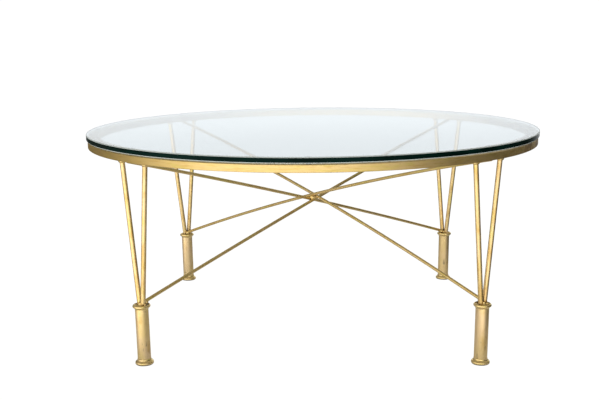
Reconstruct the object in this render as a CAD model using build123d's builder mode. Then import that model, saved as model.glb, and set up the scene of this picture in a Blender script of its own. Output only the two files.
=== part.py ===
from build123d import *

import os
from math import cos, radians, sin

# All sizes are in millimetres. +Z is up, the floor is z = 0, and the origin is the point of
# the floor under the middle of the table. The table's front is -Y.

# Glass top: a round disc of plate glass with a ground arris along both edges
GLASS_RADIUS = 533.4
GLASS_THICKNESS = 12.7
GLASS_ARRIS = 1.5

# Clear bumpers between the rim ring and the glass
BUMPER_RADIUS = 5.0
BUMPER_HEIGHT = 2.5
BUMPER_EDGE = 0.8
BUMPER_COUNT = 8

# Rim ring: one flat bar, bent to a hoop, lying flat under the edge of the glass
RING_OUTER_RADIUS = 530.0
RING_WIDTH = 25.4
RING_THICKNESS = 15.9
RING_EDGE_RADIUS = 1.2
RING_UNDERSIDE = 437.4

# Legs: each stands on a short tube, and two rods rise from it in a narrow V to the ring.
# A leg's middle line leans outwards as it rises.
LEG_ANGLES = {"front_left": -135, "front_right": -45, "back_right": 45, "back_left": 135}
LEG_RADIUS_AT_FLOOR = 507.4
LEG_RADIUS_AT_RING = 516.5

# Leg rods: two to a leg, numbered, one on each side of its middle line. The offsets are half
# the distance between the two rods' own middle lines.
LEG_ROD_SIDES = ((1, -1), (2, 1))
LEG_ROD_RADIUS = 5.5
LEG_ROD_FOOT_OFFSET = 5.7
LEG_ROD_RING_OFFSET = 41.3

# Foot tube, and the heights along the leg's middle line at which it starts and stops
TUBE_OUTER_RADIUS = 14.3
TUBE_WALL = 2.9
TUBE_BOTTOM = 4.0
TUBE_TOP = 126.0

# Foot flange: a turned bell, flat on the floor, with a socket for the tube. Its outline's
# points are (radius from the leg's middle line, height along it).
FLANGE_BASE = (18.0, 0.0)
FLANGE_EDGE = (20.0, 3.6)
FLANGE_NECK = (18.4, 7.2)
FLANGE_FLARE = (15.8, 9.3)
FLANGE_TOP = (14.8, 13.5)
FLANGE_FLOOR_ALLOWANCE = 0.6

# Collar: a turned bead on top of the tube, with a shallow dish for the leg rods. Its
# outline's points are given in the same way.
COLLAR_FOOT = (14.9, 122.6)
COLLAR_COVE = (15.8, 125.1)
COLLAR_UNDER_RIM = (17.8, 126.4)
COLLAR_RIM = (19.1, 129.2)
COLLAR_MOUTH = (16.4, 132.6)
COLLAR_DISH = (14.8, 130.35)
COLLAR_DISH_RADIUS = 13.2
COLLAR_FLOOR = 129.6

# Brace rods: each rises from one foot, bowed a little, past the middle of the table to the
# ring over the opposite foot. Two pairs cross, one pair over the other. The bow is a few
# straight runs, with a slight bend between them.
BRACE_RADIUS = 3.65
BRACE_RUNS = 3
BRACE_FOOT_RADIUS = 501.0
BRACE_FOOT_HEIGHT = 138.0
BRACE_TIP_RADIUS = 527.0
BRACE_TIP_OVER_UNDERSIDE = 1.6
BRACE_SIDE_OFFSET = 3.8
BRACE_MIDDLE_HEIGHTS = {
    "front_left": 292.5,
    "back_right": 292.5,
    "front_right": 304.1,
    "back_left": 304.1,
}

# Weld metal: a cone round the top of each leg rod
RING_BEAD_RADIUS = 8.5
RING_BEAD_TOE_RADIUS = 5.8
RING_BEAD_HEIGHT = 5.0

# Weld metal: a bead round the tip of each brace rod, under the ring
TIP_WELD_LENGTH = 25.0
TIP_WELD_WIDTH = 13.8
TIP_WELD_HEIGHT = 2.4
TIP_WELD_RADIUS = 517.0
TIP_WELD_TAPER = 30

# Weld metal: a heap round the leg rods in the collar, and a lump on it under the brace rod
HEAP_RADIUS = 12.4
HEAP_SHOULDER = (11.2, 132.8)
HEAP_TOP = (7.2, 137.2)
BRACE_LUMP_RADIUS = 5.4
BRACE_LUMP_DISTANCE = 501.5
BRACE_LUMP_HEIGHT = 135.4

# Weld metal: the knot where the brace rods cross
CROSSING_WELD_RADIUS = 9.4
CROSSING_WELD_HALF_HEIGHT = 7.0
CROSSING_WELD_EDGE_RADIUS = 5.0

# Values worked out from the ones above
RING_TOP = RING_UNDERSIDE + RING_THICKNESS
RING_MIDDLE_RADIUS = RING_OUTER_RADIUS - RING_WIDTH / 2
GLASS_UNDERSIDE = RING_TOP + BUMPER_HEIGHT
LEG_LEAN = (LEG_RADIUS_AT_RING - LEG_RADIUS_AT_FLOOR) / RING_UNDERSIDE
UP = Vector(0, 0, 1)

# Spare length on a rod that is then cut back to the face that it meets
TRIM_ALLOWANCE = 6.0


def outward(angle):
    """Level direction from the middle of the table to the leg at this angle."""
    return Vector(cos(radians(angle)), sin(radians(angle)), 0)


def sideways(angle):
    """Level direction along the ring at the leg at this angle."""
    return UP.cross(outward(angle))


def leg_direction(angle):
    """Direction of the leg's middle line, upwards."""
    return (outward(angle) * LEG_LEAN + UP).normalized()


def leg_point(angle, height):
    """Point on the leg's middle line, at this distance along it from the floor."""
    return outward(angle) * LEG_RADIUS_AT_FLOOR + leg_direction(angle) * height


def leg_section(angle):
    """Plane through the leg's middle line: x is the radius from it, y the height along it."""
    direction = leg_direction(angle)
    across = sideways(angle).cross(direction)
    return Plane(origin=leg_point(angle, 0), x_dir=across, z_dir=across.cross(direction))


def level_on_leg(angle, height):
    """Plane square to the leg's middle line at this height along it."""
    return Plane(
        origin=leg_point(angle, height), x_dir=sideways(angle), z_dir=leg_direction(angle)
    )


def leg_axis(angle):
    return Axis(leg_point(angle, 0), leg_direction(angle))


def rod_ends(angle, side):
    """Middle line of one leg rod, from the collar's dish to the underside of the ring."""
    foot = leg_point(angle, COLLAR_FLOOR) + sideways(angle) * side * LEG_ROD_FOOT_OFFSET
    ring = outward(angle) * LEG_RADIUS_AT_RING + UP * RING_UNDERSIDE
    return foot, ring + sideways(angle) * side * LEG_ROD_RING_OFFSET


def save(part, name):
    part.label = name
    export_step(part, f"parts/{name}.step")


def make_glass_top():
    with BuildPart() as glass_top:
        with BuildSketch(Plane.XZ):
            with BuildLine():
                Polyline(
                    (0, GLASS_UNDERSIDE),
                    (GLASS_RADIUS - GLASS_ARRIS, GLASS_UNDERSIDE),
                    (GLASS_RADIUS, GLASS_UNDERSIDE + GLASS_ARRIS),
                    (GLASS_RADIUS, GLASS_UNDERSIDE + GLASS_THICKNESS - GLASS_ARRIS),
                    (GLASS_RADIUS - GLASS_ARRIS, GLASS_UNDERSIDE + GLASS_THICKNESS),
                    (0, GLASS_UNDERSIDE + GLASS_THICKNESS),
                    close=True,
                )
            make_face()
        revolve(axis=Axis.Z)
    save(glass_top.part, "glass_top")


def make_glass_bumpers():
    with BuildPart() as glass_bumpers:
        with BuildSketch(Plane.XY.offset(RING_TOP)):
            with PolarLocations(RING_MIDDLE_RADIUS, BUMPER_COUNT):
                Circle(BUMPER_RADIUS)
        extrude(amount=BUMPER_HEIGHT)
        chamfer(glass_bumpers.edges().group_by(Axis.Z)[-1], length=BUMPER_EDGE)
    save(glass_bumpers.part, "glass_bumpers")


def make_rim_ring():
    with BuildPart() as rim_ring:
        with BuildSketch(Plane.XZ) as bar:
            with Locations((RING_MIDDLE_RADIUS, RING_UNDERSIDE + RING_THICKNESS / 2)):
                Rectangle(RING_WIDTH, RING_THICKNESS)
            fillet(bar.vertices(), radius=RING_EDGE_RADIUS)
        revolve(axis=Axis.Z)
    save(rim_ring.part, "rim_ring")


def make_foot_tube(leg, angle):
    with BuildPart() as foot_tube:
        with BuildSketch(level_on_leg(angle, TUBE_BOTTOM)):
            Circle(TUBE_OUTER_RADIUS)
            Circle(TUBE_OUTER_RADIUS - TUBE_WALL, mode=Mode.SUBTRACT)
        extrude(amount=TUBE_TOP - TUBE_BOTTOM)
    save(foot_tube.part, f"foot_tube_{leg}")


def make_foot_flange(leg, angle):
    """Rounded edge at the floor, then a hollow flare up to the tube."""
    with BuildPart() as foot_flange:
        with BuildSketch(leg_section(angle)):
            with BuildLine():
                edge = ThreePointArc(FLANGE_BASE, FLANGE_EDGE, FLANGE_NECK)
                flare = ThreePointArc(edge @ 1, FLANGE_FLARE, FLANGE_TOP)
                Polyline(
                    flare @ 1,
                    (TUBE_OUTER_RADIUS, FLANGE_TOP[1]),
                    (TUBE_OUTER_RADIUS, TUBE_BOTTOM),
                    (0, TUBE_BOTTOM),
                    (0, -FLANGE_FLOOR_ALLOWANCE),
                    (FLANGE_BASE[0], -FLANGE_FLOOR_ALLOWANCE),
                    edge @ 0,
                )
            make_face()
        revolve(axis=leg_axis(angle))
        split(bisect_by=Plane.XY, keep=Keep.TOP)
    save(foot_flange.part, f"foot_flange_{leg}")


def make_foot_collar(leg, angle):
    """Cove under the rim, a round rim, and the dish inside it."""
    with BuildPart() as foot_collar:
        with BuildSketch(leg_section(angle)):
            with BuildLine():
                cove = ThreePointArc(COLLAR_FOOT, COLLAR_COVE, COLLAR_UNDER_RIM)
                rim = ThreePointArc(cove @ 1, COLLAR_RIM, COLLAR_MOUTH)
                dish = ThreePointArc(rim @ 1, COLLAR_DISH, (COLLAR_DISH_RADIUS, COLLAR_FLOOR))
                Polyline(
                    dish @ 1,
                    (0, COLLAR_FLOOR),
                    (0, TUBE_TOP),
                    (TUBE_OUTER_RADIUS, TUBE_TOP),
                    (TUBE_OUTER_RADIUS, COLLAR_FOOT[1]),
                    cove @ 0,
                )
            make_face()
        revolve(axis=leg_axis(angle))
    save(foot_collar.part, f"foot_collar_{leg}")


def make_leg_rod(leg, angle, number, side):
    """Straight rod, cut square to the leg in the dish and level under the ring."""
    foot, ring = rod_ends(angle, side)
    direction = (ring - foot).normalized()
    start = Plane(origin=foot - direction * TRIM_ALLOWANCE, z_dir=direction)
    with BuildPart() as leg_rod:
        with BuildSketch(start):
            Circle(LEG_ROD_RADIUS)
        extrude(amount=(ring - foot).length + 2 * TRIM_ALLOWANCE)
        split(bisect_by=Plane.XY.offset(RING_UNDERSIDE), keep=Keep.BOTTOM)
        split(bisect_by=level_on_leg(angle, COLLAR_FLOOR), keep=Keep.TOP)
    save(leg_rod.part, f"leg_rod_{number}_{leg}")
    return leg_rod.part


def brace_corners(leg):
    """Corners of the bowed rod, on a parabola: distance from the table's middle, and height."""
    start, end = -BRACE_FOOT_RADIUS, BRACE_TIP_RADIUS
    end_height = RING_UNDERSIDE + BRACE_TIP_OVER_UNDERSIDE
    slope = (end_height - BRACE_FOOT_HEIGHT) / (end - start)
    chord_at_middle = BRACE_FOOT_HEIGHT - slope * start
    bow = (BRACE_MIDDLE_HEIGHTS[leg] - chord_at_middle) / (-start * end)
    corners = []
    for run in range(BRACE_RUNS + 1):
        along = start + (end - start) * run / BRACE_RUNS
        rise = slope * (along - start) + bow * (along - start) * (end - along)
        corners.append((along, BRACE_FOOT_HEIGHT + rise))
    return corners


def make_brace_rod(leg, angle):
    """Bowed rod from this leg's collar to the ring over the opposite leg."""
    inward = outward(angle) * -1
    side_by_side = sideways(angle) * BRACE_SIDE_OFFSET
    with BuildPart() as brace_rod:
        with BuildLine(Plane(origin=side_by_side, x_dir=inward, z_dir=inward.cross(UP))) as bow:
            Polyline(*brace_corners(leg))
        with BuildSketch(Plane(origin=bow.line @ 0, z_dir=bow.line % 0)):
            Circle(BRACE_RADIUS)
        sweep(path=bow.line, transition=Transition.RIGHT)
        split(bisect_by=Plane.XY.offset(RING_UNDERSIDE), keep=Keep.BOTTOM)
    save(brace_rod.part, f"brace_rod_{leg}")
    return brace_rod.part


def make_collar_weld(leg, angle, rods):
    """Weld metal heaped round the leg rods in the dish, with a lump under the brace rod."""
    with BuildPart() as collar_weld:
        with BuildSketch(leg_section(angle)):
            with BuildLine():
                heap = ThreePointArc((HEAP_RADIUS, COLLAR_FLOOR), HEAP_SHOULDER, HEAP_TOP)
                Polyline(heap @ 1, (0, HEAP_TOP[1]), (0, COLLAR_FLOOR), heap @ 0)
            make_face()
        revolve(axis=leg_axis(angle))
        with Locations(
            outward(angle) * BRACE_LUMP_DISTANCE
            + sideways(angle) * BRACE_SIDE_OFFSET
            + UP * BRACE_LUMP_HEIGHT
        ):
            Sphere(BRACE_LUMP_RADIUS)
        for rod in rods:
            add(rod, mode=Mode.SUBTRACT)
    save(collar_weld.part, f"collar_weld_{leg}")


def make_ring_beads(leg_rods):
    """One cone of weld metal round the top of each leg rod, under the ring."""
    with BuildPart() as ring_weld_beads:
        for angle in LEG_ANGLES.values():
            for _, side in LEG_ROD_SIDES:
                foot, ring = rod_ends(angle, side)
                lower = ring + (foot - ring).normalized() * RING_BEAD_HEIGHT
                with BuildSketch(Plane.XY.offset(RING_UNDERSIDE)):
                    with Locations((ring.X, ring.Y)):
                        Circle(RING_BEAD_RADIUS)
                with BuildSketch(Plane.XY.offset(lower.Z)):
                    with Locations((lower.X, lower.Y)):
                        Circle(RING_BEAD_TOE_RADIUS)
                loft()
        for rod in leg_rods:
            add(rod, mode=Mode.SUBTRACT)
    save(ring_weld_beads.part, "ring_weld_beads")


def make_brace_tip_welds(brace_rods):
    """Weld metal along both sides of each brace rod's tip, under the ring."""
    with BuildPart() as brace_tip_welds:
        for angle in LEG_ANGLES.values():
            middle = outward(angle) * TIP_WELD_RADIUS - sideways(angle) * BRACE_SIDE_OFFSET
            with BuildSketch(Plane.XY.offset(RING_UNDERSIDE)):
                with Locations(Location((middle.X, middle.Y), angle)):
                    SlotOverall(TIP_WELD_LENGTH, TIP_WELD_WIDTH)
            extrude(amount=-TIP_WELD_HEIGHT, taper=TIP_WELD_TAPER)
        for rod in brace_rods:
            add(rod, mode=Mode.SUBTRACT)
    save(brace_tip_welds.part, "brace_tip_welds")


def make_crossing_weld(brace_rods):
    """Knot of weld metal that joins the four brace rods where they cross."""
    heights = BRACE_MIDDLE_HEIGHTS.values()
    middle = (min(heights) + max(heights)) / 2
    with BuildPart() as crossing_weld:
        with BuildSketch(Plane.XY.offset(middle - CROSSING_WELD_HALF_HEIGHT)):
            Circle(CROSSING_WELD_RADIUS)
        extrude(amount=2 * CROSSING_WELD_HALF_HEIGHT)
        fillet(crossing_weld.edges(), radius=CROSSING_WELD_EDGE_RADIUS)
        for rod in brace_rods:
            add(rod, mode=Mode.SUBTRACT)
    save(crossing_weld.part, "crossing_weld")


def main():
    os.makedirs("parts", exist_ok=True)
    make_glass_top()
    make_glass_bumpers()
    make_rim_ring()

    brace_rods = {leg: make_brace_rod(leg, angle) for leg, angle in LEG_ANGLES.items()}
    all_leg_rods = []
    for leg, angle in LEG_ANGLES.items():
        make_foot_flange(leg, angle)
        make_foot_tube(leg, angle)
        make_foot_collar(leg, angle)
        leg_rods = [make_leg_rod(leg, angle, number, side) for number, side in LEG_ROD_SIDES]
        make_collar_weld(leg, angle, leg_rods + [brace_rods[leg]])
        all_leg_rods += leg_rods

    make_ring_beads(all_leg_rods)
    make_brace_tip_welds(brace_rods.values())
    make_crossing_weld(brace_rods.values())


main()
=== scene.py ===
import cmath
import math

import bpy
import numpy as np
from mathutils import Euler, Matrix, Vector, noise


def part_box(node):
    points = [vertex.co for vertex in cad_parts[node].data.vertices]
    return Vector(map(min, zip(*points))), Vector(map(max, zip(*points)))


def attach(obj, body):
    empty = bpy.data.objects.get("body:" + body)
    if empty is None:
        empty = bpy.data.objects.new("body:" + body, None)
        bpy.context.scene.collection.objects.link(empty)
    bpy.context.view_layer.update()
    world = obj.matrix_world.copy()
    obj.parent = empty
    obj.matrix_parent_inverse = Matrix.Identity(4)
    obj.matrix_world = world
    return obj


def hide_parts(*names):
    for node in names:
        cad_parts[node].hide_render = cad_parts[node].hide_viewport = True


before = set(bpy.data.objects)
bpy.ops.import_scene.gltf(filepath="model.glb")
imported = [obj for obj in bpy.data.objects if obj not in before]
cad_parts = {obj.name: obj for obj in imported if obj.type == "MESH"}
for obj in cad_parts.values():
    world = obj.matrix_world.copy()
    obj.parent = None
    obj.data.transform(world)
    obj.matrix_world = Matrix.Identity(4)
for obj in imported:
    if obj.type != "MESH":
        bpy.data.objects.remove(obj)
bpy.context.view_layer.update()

# All lengths are in metres, in the frame's own axes: +Z is up and the table's front is -Y.
MM = 0.001
UP = Vector((0, 0, 1))
X = Vector((1, 0, 0))
Y = Vector((0, 1, 0))
LEGS = ("front_left", "front_right", "back_right", "back_left")
LEG_RODS = (1, 2)
END_DEPTH = 5 * MM  # points this near a bar's lowest or highest one belong to its end


# ---------------------------------------------------------------------------------------------
# Mesh work
# ---------------------------------------------------------------------------------------------


def circle(centre, across, along, radius, count):
    """Points of a circle in the plane of two unit directions."""
    turns = [2 * math.pi * i / count for i in range(count)]
    return [centre + radius * (math.cos(t) * across + math.sin(t) * along) for t in turns]


def arc(start, through, end, count=8):
    """Points along the arc through three points in a plane, without the first one."""
    a, b, c = complex(*start), complex(*through), complex(*end)
    w = (c - a) / (b - a)
    centre = a - (a - b) * (w - abs(w) ** 2) / (2j * w.imag)
    turn = cmath.phase((c - centre) / (a - centre))
    spots = [centre + (a - centre) * cmath.exp(1j * turn * i / count) for i in range(1, count + 1)]
    return [(spot.real, spot.imag) for spot in spots]


def runs(start, end, count):
    """Points along a straight line in a plane, without the first one."""
    return [
        (start[0] + (end[0] - start[0]) * i / count, start[1] + (end[1] - start[1]) * i / count)
        for i in range(1, count + 1)
    ]


def rumple(point, size, depth, seed):
    """How far a hand-worked surface stands in or out at a point."""
    return depth * noise.noise(point / size + Vector((seed, seed * 0.7, -seed)))


def uneven(row, middle, size, depth, seed):
    """A ring of points, each moved a little to or from a middle."""
    return [p + (p - middle).normalized() * rumple(p, size, depth, seed) for p in row]


def turned(outline, count, size, depth, seed):
    """Uneven rings about the z axis from pairs of radius and height in mm."""
    rows = []
    for radius, height in outline:
        middle = UP * height * MM
        row = circle(middle, X, Y, radius * MM, count)
        rows.append(uneven(row, middle, size, depth, seed))
    return rows


def lofted(rows, closed=False):
    """Points and faces of a skin over rings of points. Its ends are capped, unless it is closed."""
    count = len(rows[0])
    points = [p for row in rows for p in row]
    faces = []
    for i in range(len(rows) if closed else len(rows) - 1):
        a, b = i * count, (i + 1) % len(rows) * count
        for j in range(count):
            k = (j + 1) % count
            faces.append((a + j, a + k, b + k, b + j))
    if not closed:
        for first, order in ((0, -1), ((len(rows) - 1) * count, 1)):
            points.append(sum((points[first + j] for j in range(count)), Vector()) / count)
            ring = [first + j for j in range(count)][::order]
            hub = len(points) - 1
            faces += [(ring[j], ring[(j + 1) % count], hub) for j in range(count)]
    return points, faces


def joined(skins):
    """Several skins as one set of points and faces."""
    points, faces = [], []
    for more_points, more_faces in skins:
        base = len(points)
        points += more_points
        faces += [tuple(base + i for i in face) for face in more_faces]
    return points, faces


def piece(name, skin, material, body, replaces, place=None, sharp=35):
    """A new mesh object that rides on a body and stands for the CAD nodes named.

    Edges that turn by more than the sharp angle, in degrees, are not smoothed.
    """
    mesh = bpy.data.meshes.new(name)
    mesh.from_pydata(skin[0], [], skin[1])
    mesh.validate()
    mesh.polygons.foreach_set("use_smooth", [True] * len(mesh.polygons))
    mesh.set_sharp_from_angle(angle=math.radians(sharp))
    mesh.materials.append(material)
    obj = bpy.data.objects.new(name, mesh)
    bpy.context.scene.collection.objects.link(obj)
    if place is not None:
        obj.matrix_world = place
    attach(obj, body)
    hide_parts(*replaces)
    return obj


def vertices(node):
    """The CAD node's points, one row each."""
    return np.array([v.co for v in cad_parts[node].data.vertices])


def end_middles(node):
    """Middles of a straight round bar's lowest and highest rings of points."""
    points = vertices(node)
    heights = points[:, 2]
    foot = points[heights < heights.min() + END_DEPTH].mean(axis=0)
    top = points[heights > heights.max() - END_DEPTH].mean(axis=0)
    return Vector(foot), Vector(top)


def along_z(start, direction):
    """A place whose z axis is the direction given."""
    turn = UP.rotation_difference(direction).to_matrix().to_4x4()
    return Matrix.Translation(start) @ turn


def leg_place(leg):
    """The leg's own axes: its origin is on the floor and z runs up its middle line."""
    foot, top = end_middles(f"foot_tube_{leg}")
    direction = (top - foot).normalized()
    return along_z(foot - direction * foot.z / direction.z, direction)


def pressed_flat(rows, place, ceiling=math.inf):
    """Rings of points in a piece's own axes, pressed flat at the floor and at a ceiling."""
    back = place.inverted()
    pressed = []
    for row in rows:
        spots = [place @ p for p in row]
        for spot in spots:
            spot.z = min(max(spot.z, 0.0), ceiling)
        pressed.append([back @ spot for spot in spots])
    return pressed


# ---------------------------------------------------------------------------------------------
# Materials
# ---------------------------------------------------------------------------------------------

PATTERN_SHIFT = (3.7, 3.7, 3.7)


class Graph:
    """The nodes of a material or of the world, put together with short calls."""

    def __init__(self, owner):
        owner.use_nodes = True
        self.nodes = owner.node_tree.nodes
        self.links = owner.node_tree.links

    def add(self, kind, inputs=None, **settings):
        node = self.nodes.new(kind)
        for key, value in settings.items():
            setattr(node, key, value)
        for key, value in (inputs or {}).items():
            self.feed(node.inputs[key], value)
        return node

    def feed(self, socket, value):
        if isinstance(value, bpy.types.NodeSocket):
            self.links.new(value, socket)
        else:
            socket.default_value = value

    def vector(self, operation, a, b):
        return self.add("ShaderNodeVectorMath", {0: a, 1: b}, operation=operation).outputs[0]

    def dot(self, a, b):
        node = self.add("ShaderNodeVectorMath", {0: a, 1: b}, operation="DOT_PRODUCT")
        return node.outputs["Value"]

    def maths(self, operation, a, b, clamp=False):
        settings = {"operation": operation, "use_clamp": clamp}
        return self.add("ShaderNodeMath", {0: a, 1: b}, **settings).outputs[0]

    def height_of(self, place):
        return self.add("ShaderNodeSeparateXYZ", {0: place}).outputs["Z"]

    def noise(self, vector, scale, detail=3.0, roughness=0.55):
        inputs = {"Vector": vector, "Scale": scale, "Detail": detail, "Roughness": roughness}
        return self.add("ShaderNodeTexNoise", inputs).outputs["Fac"]

    def band(self, value, low, high, out_low=0.0, out_high=1.0):
        """A soft step from one value to another."""
        inputs = {
            "Value": value,
            "From Min": low,
            "From Max": high,
            "To Min": out_low,
            "To Max": out_high,
        }
        return self.add("ShaderNodeMapRange", inputs, interpolation_type="SMOOTHSTEP").outputs[0]

    def mix(self, share, a, b, kind="MIX"):
        inputs = {0: share, 6: a, 7: b}
        return self.add("ShaderNodeMix", inputs, data_type="RGBA", blend_type=kind).outputs[2]

    def bump(self, height, strength, distance):
        inputs = {"Height": height, "Strength": strength, "Distance": distance}
        return self.add("ShaderNodeBump", inputs).outputs["Normal"]


class Look(Graph):
    """A node material with a Principled shader, whose patterns lie in the object's own axes."""

    def __init__(self, name):
        self.material = bpy.data.materials.new(name)
        super().__init__(self.material)
        self.shader = self.nodes["Principled BSDF"]
        self.object_place = self.add("ShaderNodeTexCoord").outputs["Object"]
        # Pieces of one kind lie in different parts of the pattern
        shift = self.add("ShaderNodeObjectInfo").outputs["Location"]
        shift = self.vector("MULTIPLY", shift, PATTERN_SHIFT)
        self.place = self.vector("ADD", self.object_place, shift)

    def shade(self, **values):
        """Feed the shader's inputs. Their names are given with _ in place of each space."""
        for name, value in values.items():
            self.feed(self.shader.inputs[name.replace("_", " ")], value)

    def hollows(self, distance, own):
        """How closely a spot is shut in by what is round it: 0 in the open, 1 in a crevice.

        Only the object itself counts as being round it when own is true.
        """
        settings = {"samples": 8, "only_local": own}
        shade = self.add("ShaderNodeAmbientOcclusion", {"Distance": distance}, **settings)
        return self.maths("SUBTRACT", 1.0, shade.outputs["AO"])


def paint(red, green, blue):
    """A colour given in screen values from 0 to 255, as the linear colour that a shader takes."""
    linear = []
    for value in (red, green, blue):
        v = value / 255
        linear.append(v / 12.92 if v <= 0.04045 else ((v + 0.055) / 1.055) ** 2.4)
    return (*linear, 1.0)


GOLD_ROSE = paint(251, 221, 172)
GOLD = paint(246, 218, 142)
GOLD_GREEN = paint(236, 218, 130)
GOLD_DEEP = paint(216, 174, 88)
# darker gold, used as painted shade
GOLD_SHADED = paint(172, 146, 74)
# brown for real wear and hollows, and for patches of painted shade
PATINA_AND_SHADE = paint(104, 76, 34)
# near-black, for dark scratches and for painted shade in the deepest hollows
SOOT_AND_SHADE = paint(36, 25, 9)

# Sizes of the gilding's patterns, as multiples of its grain
GREEN_GRAIN = 1.6
DEEP_GRAIN = 2.3
WORN_GRAIN = 3.1
BRUSHED_GRAIN = 5
SCRATCH_GRAIN = 9
SCRATCH_SHAPE = (1, 1, 0.25)

# Values of those patterns at which a layer begins to show and is at its fullest
ROSE_ENDS = (0.40, 0.62)
GREEN_ENDS = (0.52, 0.68)
DEEP_ENDS = (0.70, 0.92)
DULL_SPREAD = 0.4  # how far the deep gold's ends come down where the gilding is fully dull
WORN_ENDS = (0.60, 0.70)
SCRATCH_ENDS = (0.66, 0.72)
BRUSHED_ENDS = (0.25, 0.75)

# Brush marks that are kept below a height
MARKS_FADE_FROM = 0.6  # where they begin to fade, as a share of the height
MARKS_ABOVE = 0.15  # share of them left above it

# Painted shade along a direction: where and how much it turns the gold to patina in worn-looking
# patches, and how far it darkens the rest
PATCH_SCALE = 70
PATCH_ENDS = (0.38, 0.58)
PATCH_SHADE = (0.25, 0.95)
SHADE_RAMP_FULL = 0.75

# Painted shade and dirt in the hollows, from ambient occlusion: brown and then black as they close
# in
HOLLOW_SHADE_AND_DIRT = 0.9
SHADE_AND_DIRT_REACH = 9 * MM
BROWN_ENDS = (0.38, 0.64)
BLACK_ENDS = (0.5, 0.8)

LEAF_METALLIC = 0.94
BARE_METALLIC = 0.25
BRUSHED_GLOSS = (-0.05, 0.07)  # how far the roughness goes below and above the gloss given
BRUSHED_BUMP = (0.15, 0.1 * MM)  # strength and depth


def gilding(
    name,
    along=(1, 1, 1),
    grain=60,
    rose=0.5,
    green=0.7,
    wear=0.3,
    marks=0.3,
    marks_below=None,
    dull=0.5,
    shade_share=0.0,
    own=False,
    gloss=0.42,
    shade_patches=None,
    shade_ramp=None,
):
    """Gold leaf over iron: rosy and yellow by turns, rubbed in places, with painted shade and dirt
    brown to black in the hollows.

    Brush marks can be kept below a height. Painted shade, as patina in worn-looking patches and as
    darker gold, can grow along a direction, between two distances from the object's origin.
    """
    look = Look(name)
    place = look.vector("MULTIPLY", look.place, along)

    rosy = look.band(look.noise(place, grain, detail=2), *ROSE_ENDS, rose * 0.5, rose)
    gold = look.mix(rosy, GOLD, GOLD_ROSE)
    greenish = look.noise(place, grain * GREEN_GRAIN, detail=2)
    gold = look.mix(look.band(greenish, *GREEN_ENDS, 0.0, green), gold, GOLD_GREEN)
    deep_ends = [end - dull * DULL_SPREAD for end in DEEP_ENDS]
    deep = look.band(look.noise(place, grain * DEEP_GRAIN), *deep_ends, 0.0, dull)
    gold = look.mix(deep, gold, GOLD_DEEP)
    # Painted shade: a share of the gold darkened, constant or growing along a direction
    if shade_ramp:
        direction, *ends = shade_ramp
        shade_share = look.band(look.dot(look.object_place, direction), *ends, shade_share, SHADE_RAMP_FULL)
    gold = look.mix(shade_share, gold, GOLD_SHADED)

    rub = look.noise(place, grain * WORN_GRAIN, detail=5, roughness=0.7)
    wear_and_shade = look.band(rub, *WORN_ENDS, 0.0, wear)
    # Painted shade in patches of patina, on the side of the object that a direction points to
    if shade_patches:
        direction, *ends = shade_patches
        shaded_side = look.band(look.dot(look.object_place, direction), *ends)
        patches = look.noise(look.place, PATCH_SCALE, detail=5)
        patches = look.band(patches, *PATCH_ENDS, *PATCH_SHADE)
        wear_and_shade = look.maths("MAXIMUM", wear_and_shade, look.maths("MULTIPLY", shaded_side, patches))
    gold = look.mix(wear_and_shade, gold, PATINA_AND_SHADE)

    scratches = look.vector("MULTIPLY", place, SCRATCH_SHAPE)
    scratches = look.noise(scratches, grain * SCRATCH_GRAIN, detail=2)
    scratch = look.band(scratches, *SCRATCH_ENDS, 0.0, marks)
    if marks_below:
        height = look.height_of(look.object_place)
        kept = look.band(height, marks_below * MARKS_FADE_FROM, marks_below, 1.0, MARKS_ABOVE)
        scratch = look.maths("MULTIPLY", scratch, kept)
    gold = look.mix(scratch, gold, SOOT_AND_SHADE)

    # Painted shade with dirt: occlusion darkens the gold to brown and then black in hollows and
    # between parts
    shut_in = look.hollows(SHADE_AND_DIRT_REACH, own)
    shade_and_dirt = look.band(shut_in, *BROWN_ENDS, 0.0, HOLLOW_SHADE_AND_DIRT)
    shade_and_dirt_colour = look.mix(look.band(shut_in, *BLACK_ENDS), PATINA_AND_SHADE, SOOT_AND_SHADE)
    bare_and_shaded = look.maths("MAXIMUM", shade_and_dirt, look.maths("MAXIMUM", wear_and_shade, scratch))
    brushed = look.noise(place, grain * BRUSHED_GRAIN)
    look.shade(
        Base_Color=look.mix(shade_and_dirt, gold, shade_and_dirt_colour),
        Metallic=look.band(bare_and_shaded, 0.0, 1.0, LEAF_METALLIC, BARE_METALLIC),
        Roughness=look.band(brushed, *BRUSHED_ENDS, *[gloss + step for step in BRUSHED_GLOSS]),
        Normal=look.bump(brushed, *BRUSHED_BUMP),
    )
    return look.material


# What float glass takes out of the light on its way through, for each metre
GLASS_DENSITY = 9.0
GLASS_LETS_THROUGH = (0.22, 0.49, 0.44, 1.0)
GLASS_IOR = 1.52
GLASS_WAVE = (0.3, 0.1 * MM)  # strength and depth
FROST_DARK = paint(206, 222, 222)
FROST_PALE = paint(232, 242, 242)
FROST_TRANSMISSION = 0.15
FROST_ROUGHNESS = (0.32, 0.46)
FROST_BUMP = (0.1, 0.05 * MM)
EDGE_DARK = paint(1, 20, 15)
EDGE_GREEN = paint(4, 34, 29)
EDGE_ROUGHNESS = (0.04, 0.1)
EDGE_SHINE = 0.03

PLASTIC_IOR = 1.49
PLASTIC_CLEAR = paint(236, 238, 236)
PLASTIC_DUSTY = paint(214, 218, 216)
PLASTIC_TRANSMISSION = 0.35
PLASTIC_ROUGHNESS = (0.25, 0.45)


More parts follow.
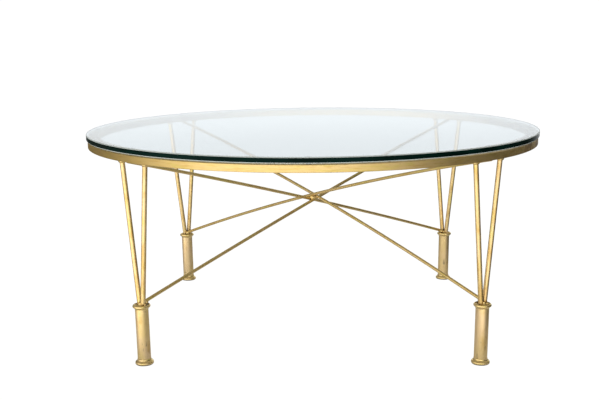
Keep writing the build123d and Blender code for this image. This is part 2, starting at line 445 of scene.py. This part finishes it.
def plate_glass():
    """Float glass: clear through its thickness, with faces that are not quite true."""
    look = Look("plate_glass")
    wave = look.noise(look.place, scale=5, detail=2)
    look.shade(
        Base_Color=(1, 1, 1, 1),
        Transmission_Weight=1.0,
        IOR=GLASS_IOR,
        Roughness=0.0,
        Normal=look.bump(wave, *GLASS_WAVE),
    )
    inputs = {"Color": GLASS_LETS_THROUGH, "Density": GLASS_DENSITY}
    inside = look.add("ShaderNodeVolumeAbsorption", inputs).outputs[0]
    look.feed(look.nodes["Material Output"].inputs["Volume"], inside)
    return look.material


def ground_glass():
    """The arris: the same glass ground to a pale frost."""
    look = Look("ground_glass")
    grind = look.noise(look.place, scale=900)
    look.shade(
        Base_Color=look.mix(grind, FROST_DARK, FROST_PALE),
        Transmission_Weight=FROST_TRANSMISSION,
        IOR=GLASS_IOR,
        Roughness=look.band(grind, 0.3, 0.7, *FROST_ROUGHNESS),
        Normal=look.bump(grind, *FROST_BUMP),
    )
    return look.material


def edge_glass():
    """The polished edge: so much green glass lies behind it that it is nearly black."""
    look = Look("edge_glass")
    depth = look.noise(look.vector("MULTIPLY", look.place, (1, 1, 6)), scale=14, detail=4)
    look.shade(
        Base_Color=look.mix(look.band(depth, 0.35, 0.65), EDGE_DARK, EDGE_GREEN),
        IOR=GLASS_IOR,
        Specular_IOR_Level=EDGE_SHINE,
        Roughness=look.band(depth, 0.4, 0.8, *EDGE_ROUGHNESS),
    )
    return look.material


def clear_bumper():
    """Soft clear plastic with a faint haze and dust."""
    look = Look("clear_bumper")
    haze = look.noise(look.place, scale=400)
    look.shade(
        Base_Color=look.mix(haze, PLASTIC_CLEAR, PLASTIC_DUSTY),
        Transmission_Weight=PLASTIC_TRANSMISSION,
        IOR=PLASTIC_IOR,
        Roughness=look.band(haze, 0.3, 0.7, *PLASTIC_ROUGHNESS),
    )
    return look.material


# ---------------------------------------------------------------------------------------------
# Glass top
# ---------------------------------------------------------------------------------------------

GLASS_ARRIS = 1.5 * MM
GLASS_EASE = 0.2 * MM  # roundness of the arris's own edges
GLASS_SEGMENTS = 720
# A face is part of the edge, or else of an arris, if its normal rises by less than this
EDGE_TILT = 0.2
ARRIS_TILT = 0.8


def make_glass():
    """A disc whose edge and arrises have their own materials."""
    low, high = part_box("glass_top")
    radius = min(high.x, high.y, -low.x, -low.y)
    profile = [
        (radius / 2, low.z),
        (radius - GLASS_ARRIS - GLASS_EASE, low.z),
        (radius - GLASS_ARRIS + GLASS_EASE, low.z + GLASS_EASE),
        (radius - GLASS_EASE, low.z + GLASS_ARRIS - GLASS_EASE),
        (radius, low.z + GLASS_ARRIS + GLASS_EASE),
        (radius, high.z - GLASS_ARRIS - GLASS_EASE),
        (radius - GLASS_EASE, high.z - GLASS_ARRIS + GLASS_EASE),
        (radius - GLASS_ARRIS + GLASS_EASE, high.z - GLASS_EASE),
        (radius - GLASS_ARRIS - GLASS_EASE, high.z),
        (radius / 2, high.z),
    ]
    rows = [circle(UP * z, X, Y, r, GLASS_SEGMENTS) for r, z in profile]
    disc = piece("glass_disc", lofted(rows), plate_glass(), "top", ["glass_top"], sharp=8)
    disc.data.materials.append(ground_glass())
    disc.data.materials.append(edge_glass())
    for face in disc.data.polygons:
        tilt = abs(face.normal.z)
        if tilt < EDGE_TILT:
            face.material_index = 2
        elif tilt < ARRIS_TILT:
            face.material_index = 1


# ---------------------------------------------------------------------------------------------
# Rim ring
# ---------------------------------------------------------------------------------------------

RING_WIDTH = 25.4 * MM
RING_CORNER = 1.2 * MM
RING_SEGMENTS = 1100
# Painted shade at the ring's ends: patina in worn-looking patches towards +X and darker gold
# towards -X, over these distances
RING_SHADE_PATCHES = (X, 0.36, 0.50)
RING_SHADE_RAMP = (-X, 0.14, 0.50)
HAMMER_SIZE = 16 * MM
HAMMER_DEPTH = 0.12 * MM
HAMMER_SEED = 3.1


def bar_outline(width, height, corner, steps=4, pieces=6):
    """Outline of a flat bar about its own middle, with rounded corners."""
    outline = []
    for across, up, start in ((1, 1, 0), (-1, 1, 90), (-1, -1, 180), (1, -1, 270)):
        centre = Vector((across * (width / 2 - corner), up * (height / 2 - corner)))
        for i in range(steps + 1):
            turn = math.radians(start + 90 * i / steps)
            outline.append(centre + corner * Vector((math.cos(turn), math.sin(turn))))
    filled = []
    for i, point in enumerate(outline):
        following = outline[(i + 1) % len(outline)]
        count = pieces if (following - point).length > 2 * corner else 1
        filled += [point.lerp(following, k / count) for k in range(count)]
    return filled


def make_ring():
    """The hoop of flat bar, dented a little as hammered bar is."""
    low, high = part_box("rim_ring")
    middle = high.x - RING_WIDTH / 2
    outline = bar_outline(RING_WIDTH, high.z - low.z, RING_CORNER)
    rows = []
    for i in range(RING_SEGMENTS):
        turn = 2 * math.pi * i / RING_SEGMENTS
        away = Vector((math.cos(turn), math.sin(turn), 0))
        centre = away * middle + UP * (low.z + high.z) / 2
        row = []
        for x, z in outline:
            offset = away * x + UP * z
            spot = centre + offset
            dent = (HAMMER_DEPTH + rumple(spot, HAMMER_SIZE, HAMMER_DEPTH, HAMMER_SEED)) / 2
            row.append(spot - offset.normalized() * dent)
        rows.append(row)
    # The ring's colour carries painted shade: darker all over, darker still towards -X and patchy
    # brown towards +X
    look = gilding(
        "gilded_ring",
        along=(0.12, 0.12, 1),
        grain=110,
        rose=0.5,
        wear=0.25,
        marks=0.1,
        shade_share=0.3,
        own=True,
        gloss=0.46,
        shade_patches=RING_SHADE_PATCHES,
        shade_ramp=RING_SHADE_RAMP,
    )
    piece("gilded_hoop", lofted(rows, closed=True), look, "base", ["rim_ring"], sharp=60)


# ---------------------------------------------------------------------------------------------
# Rods
# ---------------------------------------------------------------------------------------------

ROD_SEGMENTS = 40
LEG_ROD_RADIUS = 5.5 * MM
BRACE_RADIUS = 3.65 * MM
ROD_STEP = 3 * MM
ROD_RUMPLE_SIZE = 14 * MM
ROD_RUMPLE_DEPTH = 0.08 * MM


def rod_rows(path, radius, seed):
    """Rings of a rod along a path of points, slightly uneven as hand-drawn bar is."""
    rows = []
    for i, point in enumerate(path):
        ahead = path[min(i + 1, len(path) - 1)]
        behind = path[max(i - 1, 0)]
        direction = (ahead - behind).normalized()
        across = (X - direction * direction.x).normalized()
        row = circle(point, across, direction.cross(across), radius, ROD_SEGMENTS)
        rows.append(uneven(row, point, ROD_RUMPLE_SIZE, ROD_RUMPLE_DEPTH, seed))
    return rows


def make_leg_rods(leg, look, seed):
    """The two straight rods of a leg's V."""
    for number in LEG_RODS:
        node = f"leg_rod_{number}_{leg}"
        foot, top = end_middles(node)
        length = (top - foot).length
        count = int(length / ROD_STEP)
        path = [UP * length * i / count for i in range(count + 1)]
        skin = lofted(rod_rows(path, LEG_ROD_RADIUS, seed + number))
        place = along_z(foot, (top - foot).normalized())
        piece(f"leg_rod_{number}_gilded_{leg}", skin, look, "base", [node], place)


def make_brace(leg, look, seed):
    """One smooth bow through the CAD rod's bends."""
    node = f"brace_rod_{leg}"
    points = vertices(node)
    low, high = points[points[:, 2].argmin()], points[points[:, 2].argmax()]
    flat = Vector((high[0] - low[0], high[1] - low[1], 0)).normalized()
    across = Vector((-flat.y, flat.x, 0))
    distances = points @ np.array(flat)
    side = (points @ np.array(across)).mean()
    bow = np.polyfit(distances, points[:, 2], 2)
    start, end = distances.min(), distances.max()
    count = int((end - start) / ROD_STEP)
    path = []
    for i in range(count + 1):
        distance = start + (end - start) * i / count
        path.append(flat * distance + across * side + UP * float(np.polyval(bow, distance)))
    place = along_z(path[0], (path[-1] - path[0]).normalized())
    back = place.inverted()
    rows = rod_rows([back @ p for p in path], BRACE_RADIUS, seed)
    rows = pressed_flat(rows, place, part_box("rim_ring")[0].z)
    piece(f"brace_rod_gilded_{leg}", lofted(rows), look, "base", [node], place)


# ---------------------------------------------------------------------------------------------
# Feet: flange, tube and collar, each turned about the leg's own middle line
# ---------------------------------------------------------------------------------------------

FOOT_SEGMENTS = 96

# Outlines, as pairs of radius and height in mm
TUBE_BOTTOM = (14.3, 4.0)
TUBE_TOP = (14.3, 126.0)

FLANGE_BASE = (18.0, 0.0)
FLANGE_EDGE = (20.0, 3.6)
FLANGE_NECK = (18.4, 7.2)
FLANGE_FLARE = (15.8, 9.3)
FLANGE_TOP = (14.8, 13.5)
FLANGE_BORDER = 2.0  # width of the ring of faces round its underside

COLLAR_FOOT = (14.9, 122.6)
COLLAR_COVE = (15.8, 125.1)
COLLAR_UNDER_RIM = (17.8, 126.4)
COLLAR_RIM = (19.1, 129.2)
COLLAR_MOUTH = (16.4, 132.6)
COLLAR_DISH = (14.8, 130.35)
COLLAR_DISH_EDGE = (13.2, 129.6)

# How far the thin end of a flange or collar turns into the tube: inwards and along it
TUCK_IN, TUCK_ALONG = 0.5, 0.3

# Size and depth of each part's unevenness
TUBE_RUMPLE = (30 * MM, 0.12 * MM)
FLANGE_RUMPLE = (12 * MM, 0.25 * MM)
COLLAR_RUMPLE = (10 * MM, 0.3 * MM)


def make_foot(leg, tube_look, turned_look, seed):
    """A leg's tube, with the flange under it and the collar on top."""
    place = leg_place(leg)
    tube = [TUBE_BOTTOM] + runs(TUBE_BOTTOM, TUBE_TOP, count=40)
    rows = turned(tube, FOOT_SEGMENTS, *TUBE_RUMPLE, seed)
    piece(f"foot_tube_gilded_{leg}", lofted(rows), tube_look, "base", [f"foot_tube_{leg}"], place)

    flange = [(FLANGE_BASE[0] - FLANGE_BORDER, FLANGE_BASE[1]), FLANGE_BASE]
    flange += arc(FLANGE_BASE, FLANGE_EDGE, FLANGE_NECK, count=12)
    flange += arc(FLANGE_NECK, FLANGE_FLARE, FLANGE_TOP)
    flange.append((TUBE_BOTTOM[0] - TUCK_IN, FLANGE_TOP[1] + TUCK_ALONG))
    rows = pressed_flat(turned(flange, FOOT_SEGMENTS, *FLANGE_RUMPLE, seed + 1), place)
    node = f"foot_flange_{leg}"
    piece(f"foot_flange_gilded_{leg}", lofted(rows), turned_look, "base", [node], place)

    collar = [(TUBE_TOP[0] - TUCK_IN, COLLAR_FOOT[1] - TUCK_ALONG), COLLAR_FOOT]
    collar += arc(COLLAR_FOOT, COLLAR_COVE, COLLAR_UNDER_RIM)
    collar += arc(COLLAR_UNDER_RIM, COLLAR_RIM, COLLAR_MOUTH, count=12)
    collar += arc(COLLAR_MOUTH, COLLAR_DISH, COLLAR_DISH_EDGE)
    rows = turned(collar, FOOT_SEGMENTS, *COLLAR_RUMPLE, seed + 2)
    node = f"foot_collar_{leg}"
    piece(f"foot_collar_gilded_{leg}", lofted(rows), turned_look, "base", [node], place)


# ---------------------------------------------------------------------------------------------
# Welds
# ---------------------------------------------------------------------------------------------

# Outlines, as pairs of radius and height in mm. A bead's height is from the ring's underside.
HEAP_FOOT = (12.4, 129.4)
HEAP_COVE = (9.2, 131.0)
HEAP_TOP = (7.0, 136.8)
HEAP_TIP = (1.0, 137.4)
HEAP_SEGMENTS = 64
BEAD_TOP = (8.4, 0.0)
BEAD_BELLY = (7.6, -2.6)
BEAD_TOE = (5.7, -5.0)
BEAD_SEGMENTS = 32

LUMP_RADIUS = 5.4 * MM
LUMP_REACH = 2.2  # how much of the brace rod's foot it is centred on, in the rod's radii
LUMP_DROP = 2.0 * MM
DROP_PLACE = Vector((8.6, -6.0, 132.2)) * MM  # a drop of weld metal at the foot of one leg rod
DROP_RADIUS = 3.4 * MM

# Size and depth of each kind of weld's lumps
HEAP_RUMPLE = (5 * MM, 1.1 * MM)
BEAD_RUMPLE = (3 * MM, 0.7 * MM)
BLOB_RUMPLE = (4 * MM, 0.8 * MM)
KNOT_RUMPLE = (5 * MM, 1.6 * MM)
HEAP_SEED = 6.1
LUMP_SEED = 8.3
DROP_SEED_STEP = 3.3
BEAD_SEED = 1.3
BEAD_SEED_STEP = 0.37
TIP_SEED = 2.9
KNOT_SEED = 4.7


def blob(middle, across, along, up, seed, steps=14, count=28, rumpling=BLOB_RUMPLE):
    """A lumpy ball of weld metal, stretched to the three half-widths given as vectors."""
    rows = []
    for i in range(1, steps):
        lift = math.pi * (i / steps - 0.5)
        centre = middle + up * math.sin(lift)
        row = circle(centre, across * math.cos(lift), along * math.cos(lift), 1.0, count)
        rows.append(uneven(row, middle, *rumpling, seed))
    return lofted(rows)


def ball(middle, radius, seed):
    """A lumpy ball as wide all ways."""
    return blob(middle, X * radius, Y * radius, UP * radius, seed)


def lump_middle(leg):
    """Middle of the lump of weld metal under the brace rod: where the rod's foot rests."""
    points = vertices(f"brace_rod_{leg}")
    foot = points[points[:, 2].argmin()]
    near = points[np.linalg.norm(points - foot, axis=1) < LUMP_REACH * BRACE_RADIUS]
    return Vector(near.mean(axis=0)) - UP * LUMP_DROP


def make_heap(leg, look, number):
    """Weld metal round the feet of a leg's rods, in the dish of the collar."""
    place = leg_place(leg)
    heap = [HEAP_FOOT] + arc(HEAP_FOOT, HEAP_COVE, HEAP_TOP, count=10)
    heap += runs(HEAP_TOP, HEAP_TIP, count=4)
    rows = turned(heap, HEAP_SEGMENTS, *HEAP_RUMPLE, HEAP_SEED + number)
    lump = ball(place.inverted() @ lump_middle(leg), LUMP_RADIUS, LUMP_SEED + number)
    drop = ball(DROP_PLACE, DROP_RADIUS, DROP_SEED_STEP * number)
    skin = joined([lofted(rows), lump, drop])
    piece(f"collar_heap_gilded_{leg}", skin, look, "base", [f"collar_weld_{leg}"], place)


def ring_bead(leg, rod, number, ceiling):
    """The bead round the top of a leg rod, against the ring's underside."""
    _, top = end_middles(f"leg_rod_{rod}_{leg}")
    top.z = ceiling
    profile = [BEAD_TOP] + arc(BEAD_TOP, BEAD_BELLY, BEAD_TOE)
    seed = BEAD_SEED + number + BEAD_SEED_STEP * rod
    rows = turned(profile[::-1], BEAD_SEGMENTS, *BEAD_RUMPLE, seed)
    return lofted([[p + top for p in row] for row in rows])


def tip_bead(leg, number, ceiling):
    """The bead over the tip of the brace rod that ends above a leg, as wide as the CAD one."""
    points = vertices("brace_tip_welds")
    away = Vector((1 if "right" in leg else -1, 1 if "back" in leg else -1, 0)).normalized()
    own = points[(points @ np.array(away)) > points[:, 0].max() / 2]
    middle, halves = UP * ceiling, []
    for axis in (away, UP.cross(away)):
        span = own @ np.array(axis)
        middle += axis * float(span.max() + span.min()) / 2
        halves.append(axis * float(span.max() - span.min()) / 2)
    drop = UP * (ceiling - points[:, 2].min())
    points, faces = blob(middle, *halves, drop, TIP_SEED + number)
    for point in points:
        point.z = min(point.z, ceiling)
    return points, faces


def make_welds(look):
    """All the weld metal: in the collars, under the ring and where the brace rods cross."""
    for number, leg in enumerate(LEGS):
        make_heap(leg, look, number)

    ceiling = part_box("rim_ring")[0].z
    legs = list(enumerate(LEGS))
    beads = [ring_bead(leg, rod, number, ceiling) for number, leg in legs for rod in LEG_RODS]
    piece("ring_beads_gilded", joined(beads), look, "base", ["ring_weld_beads"], sharp=180)
    tips = [tip_bead(leg, number, ceiling) for number, leg in legs]
    piece("brace_tip_beads_gilded", joined(tips), look, "base", ["brace_tip_welds"], sharp=180)

    low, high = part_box("crossing_weld")
    half = (high - low) / 2
    widths = (X * half.x, Y * half.y, UP * half.z)
    shape = {"steps": 24, "count": 48, "rumpling": KNOT_RUMPLE}
    knot = blob((low + high) / 2, *widths, KNOT_SEED, **shape)
    piece("crossing_knot_gilded", knot, look, "base", ["crossing_weld"], sharp=180)


# ---------------------------------------------------------------------------------------------
# Studio
# ---------------------------------------------------------------------------------------------

PAPER_RADIUS = 0.7
PAPER_SEGMENTS = 96
PAPER_GLOW = 1.0
PAPER_BOUNCE = 0.38  # how brightly it lights the table from below
PAPER_WHITE = (0.1, 0.1, 0.1, 1.0)
PAPER_ROUGHNESS = 0.9

# Soft lights far off: azimuth and elevation of the direction they come from, the angles within
# which they are full and beyond which they are gone, colour and strength. Angles are in degrees,
# and azimuth is 0 at the table's front and grows towards +X.
LIGHTS = (
    (-20, 2, 18, 82, (1.0, 0.97, 0.93), 1.62),  # key
    (-85, 2, 10, 60, (1.0, 0.93, 0.90), 0.32),  # left
    (170, 25, 10, 50, (0.94, 0.97, 1.0), 1.0),  # back
)
ROOM = (0.07, 0.07, 0.065, 1.0)
LIGHT_TOP = (8.0, 45.0)  # elevations between which the lights give way to the dim ceiling
OVERHEAD = (0.27, 0.25, 0.20, 1.0)

# What is seen past the table, straight on or by way of clear glass. Glass shows the backdrop
# where it is looked down through, then THROUGH_GLASS, and over the horizon it mirrors two greys
# and then the lights. Each changes into the next between two elevations in degrees.
BACKDROP = (1.05, 1.05, 1.05, 1.0)
MIRRORED_LOW = (1.10, 1.14, 1.18, 1.0)
MIRRORED_LOW_ENDS = (5.0, 7.5)
MIRRORED = (0.96, 0.99, 1.03, 1.0)
MIRRORED_ENDS = (15.0, 25.0)
THROUGH_GLASS = (0.68, 0.72, 0.74, 1.0)
THROUGH_GLASS_ENDS = (-16.0, -10.0)
HORIZON_ENDS = (-1.0, 1.0)


def towards(azimuth, elevation):
    """The direction of a light, as a vector."""
    a, e = math.radians(azimuth), math.radians(elevation)
    return Vector((math.sin(a) * math.cos(e), -math.cos(a) * math.cos(e), math.sin(e)))


def make_room():
    """A white backdrop for what is looked at, and soft lights in a dim room for what is lit."""
    world = bpy.data.worlds.new("studio")
    bpy.context.scene.world = world
    room = Graph(world)

    def over(ends):
        """0 below a band of elevations and 1 above it."""
        return room.band(rise, *[math.sin(math.radians(e)) for e in ends])

    direction = room.add("ShaderNodeTexCoord").outputs["Generated"]
    rise = room.height_of(direction)

    lights = (0.0, 0.0, 0.0, 1.0)
    for azimuth, elevation, inner, outer, colour, strength in LIGHTS:
        facing = room.dot(direction, towards(azimuth, elevation))
        share = room.band(facing, *[math.cos(math.radians(e)) for e in (outer, inner)])
        lights = room.mix(share, lights, (*[c * strength for c in colour], 1.0), "ADD")
    lit = room.mix(1.0, ROOM, room.mix(over(LIGHT_TOP), lights, OVERHEAD), "ADD")

    through = room.mix(over(THROUGH_GLASS_ENDS), BACKDROP, THROUGH_GLASS)
    mirrored = room.mix(over(MIRRORED_LOW_ENDS), MIRRORED_LOW, MIRRORED)
    mirrored = room.mix(over(MIRRORED_ENDS), mirrored, lit)
    by_glass = room.mix(over(HORIZON_ENDS), through, mirrored)

    path = room.add("ShaderNodeLightPath").outputs
    clear = room.maths("SUBTRACT", path["Is Singular Ray"], path["Diffuse Depth"], clamp=True)
    seen = room.mix(path["Is Camera Ray"], room.mix(clear, lit, by_glass), BACKDROP)
    room.feed(room.nodes["Background"].inputs["Color"], seen)


def make_floor():
    """A round sheet of white paper that glows, so that no shadow shows on it."""
    points = circle(Vector(), X, Y, PAPER_RADIUS, PAPER_SEGMENTS)
    mesh = bpy.data.meshes.new("paper")
    mesh.from_pydata(points, [], [tuple(range(len(points)))])
    paper = bpy.data.objects.new("paper", mesh)
    bpy.context.scene.collection.objects.link(paper)

    material = bpy.data.materials.new("paper")
    surface = Graph(material)
    path = surface.add("ShaderNodeLightPath").outputs
    looked_at = surface.maths("MAXIMUM", path["Is Camera Ray"], path["Is Singular Ray"])
    values = {
        "Base Color": PAPER_WHITE,
        "Roughness": PAPER_ROUGHNESS,
        "Specular IOR Level": 0.0,
        "Emission Color": (1.0, 1.0, 1.0, 1.0),
        "Emission Strength": surface.band(looked_at, 0.0, 1.0, PAPER_BOUNCE, PAPER_GLOW),
    }
    for name, value in values.items():
        surface.feed(surface.nodes["Principled BSDF"].inputs[name], value)
    mesh.materials.append(material)


CAMERA_PLACE = (0.0370, -2.4613, 0.7318)
CAMERA_YAW = 1.59
CAMERA_PITCH = -10.160
CAMERA_ROLL = -0.619
CAMERA_LENS = 61.67


def make_camera():
    """The photo's camera. Its yaw, pitch and roll are in degrees, from level and straight on."""
    data = bpy.data.cameras.new("camera")
    data.lens = CAMERA_LENS
    camera = bpy.data.objects.new("camera", data)
    bpy.context.scene.collection.objects.link(camera)
    aim = Euler((math.radians(90 + CAMERA_PITCH), 0, math.radians(CAMERA_YAW))).to_matrix()
    roll = Matrix.Rotation(math.radians(CAMERA_ROLL), 3, "Z")
    camera.matrix_world = Matrix.Translation(CAMERA_PLACE) @ (aim @ roll).to_4x4()
    bpy.context.scene.camera = camera


# ---------------------------------------------------------------------------------------------
# The whole table
# ---------------------------------------------------------------------------------------------

LEG_ROD_SEED = 10.0
BRACE_SEED = 30.0
FOOT_SEED = 50.0
SEED_STEP = 3
TUBE_MARKS_BELOW = 60 * MM


def build():
    make_glass()
    make_ring()
    leg_rod = gilding("gilded_leg_rod", (1, 1, 0.3), 42, rose=0.8, wear=0.1, marks=0.1, dull=0.6)
    # The braces' gold is darkened a little all over as painted shade
    brace = gilding("gilded_brace", (1, 1, 0.2), 60, marks=0.1, shade_share=0.2)
    tube = gilding(
        "gilded_tube",
        along=(1, 1, 0.5),
        grain=24,
        rose=1.0,
        green=0.2,
        wear=0.1,
        marks=0.8,
        marks_below=TUBE_MARKS_BELOW,
    )
    feet = gilding("gilded_turned", grain=70, rose=0.6, wear=0.2, marks=0.2, dull=0.3, gloss=0.26)
    for number, leg in enumerate(LEGS):
        make_leg_rods(leg, leg_rod, LEG_ROD_SEED + SEED_STEP * number)
        make_brace(leg, brace, BRACE_SEED + SEED_STEP * number)
        make_foot(leg, tube, feet, FOOT_SEED + SEED_STEP * number)
    make_welds(gilding("gilded_weld", grain=160, wear=0.5, marks=0.4, gloss=0.38))
    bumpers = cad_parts["glass_bumpers"].data
    bumpers.materials.clear()
    bumpers.materials.append(clear_bumper())
    make_room()
    make_floor()
    make_camera()
    bpy.context.scene.view_settings.view_transform = "Standard"


build()
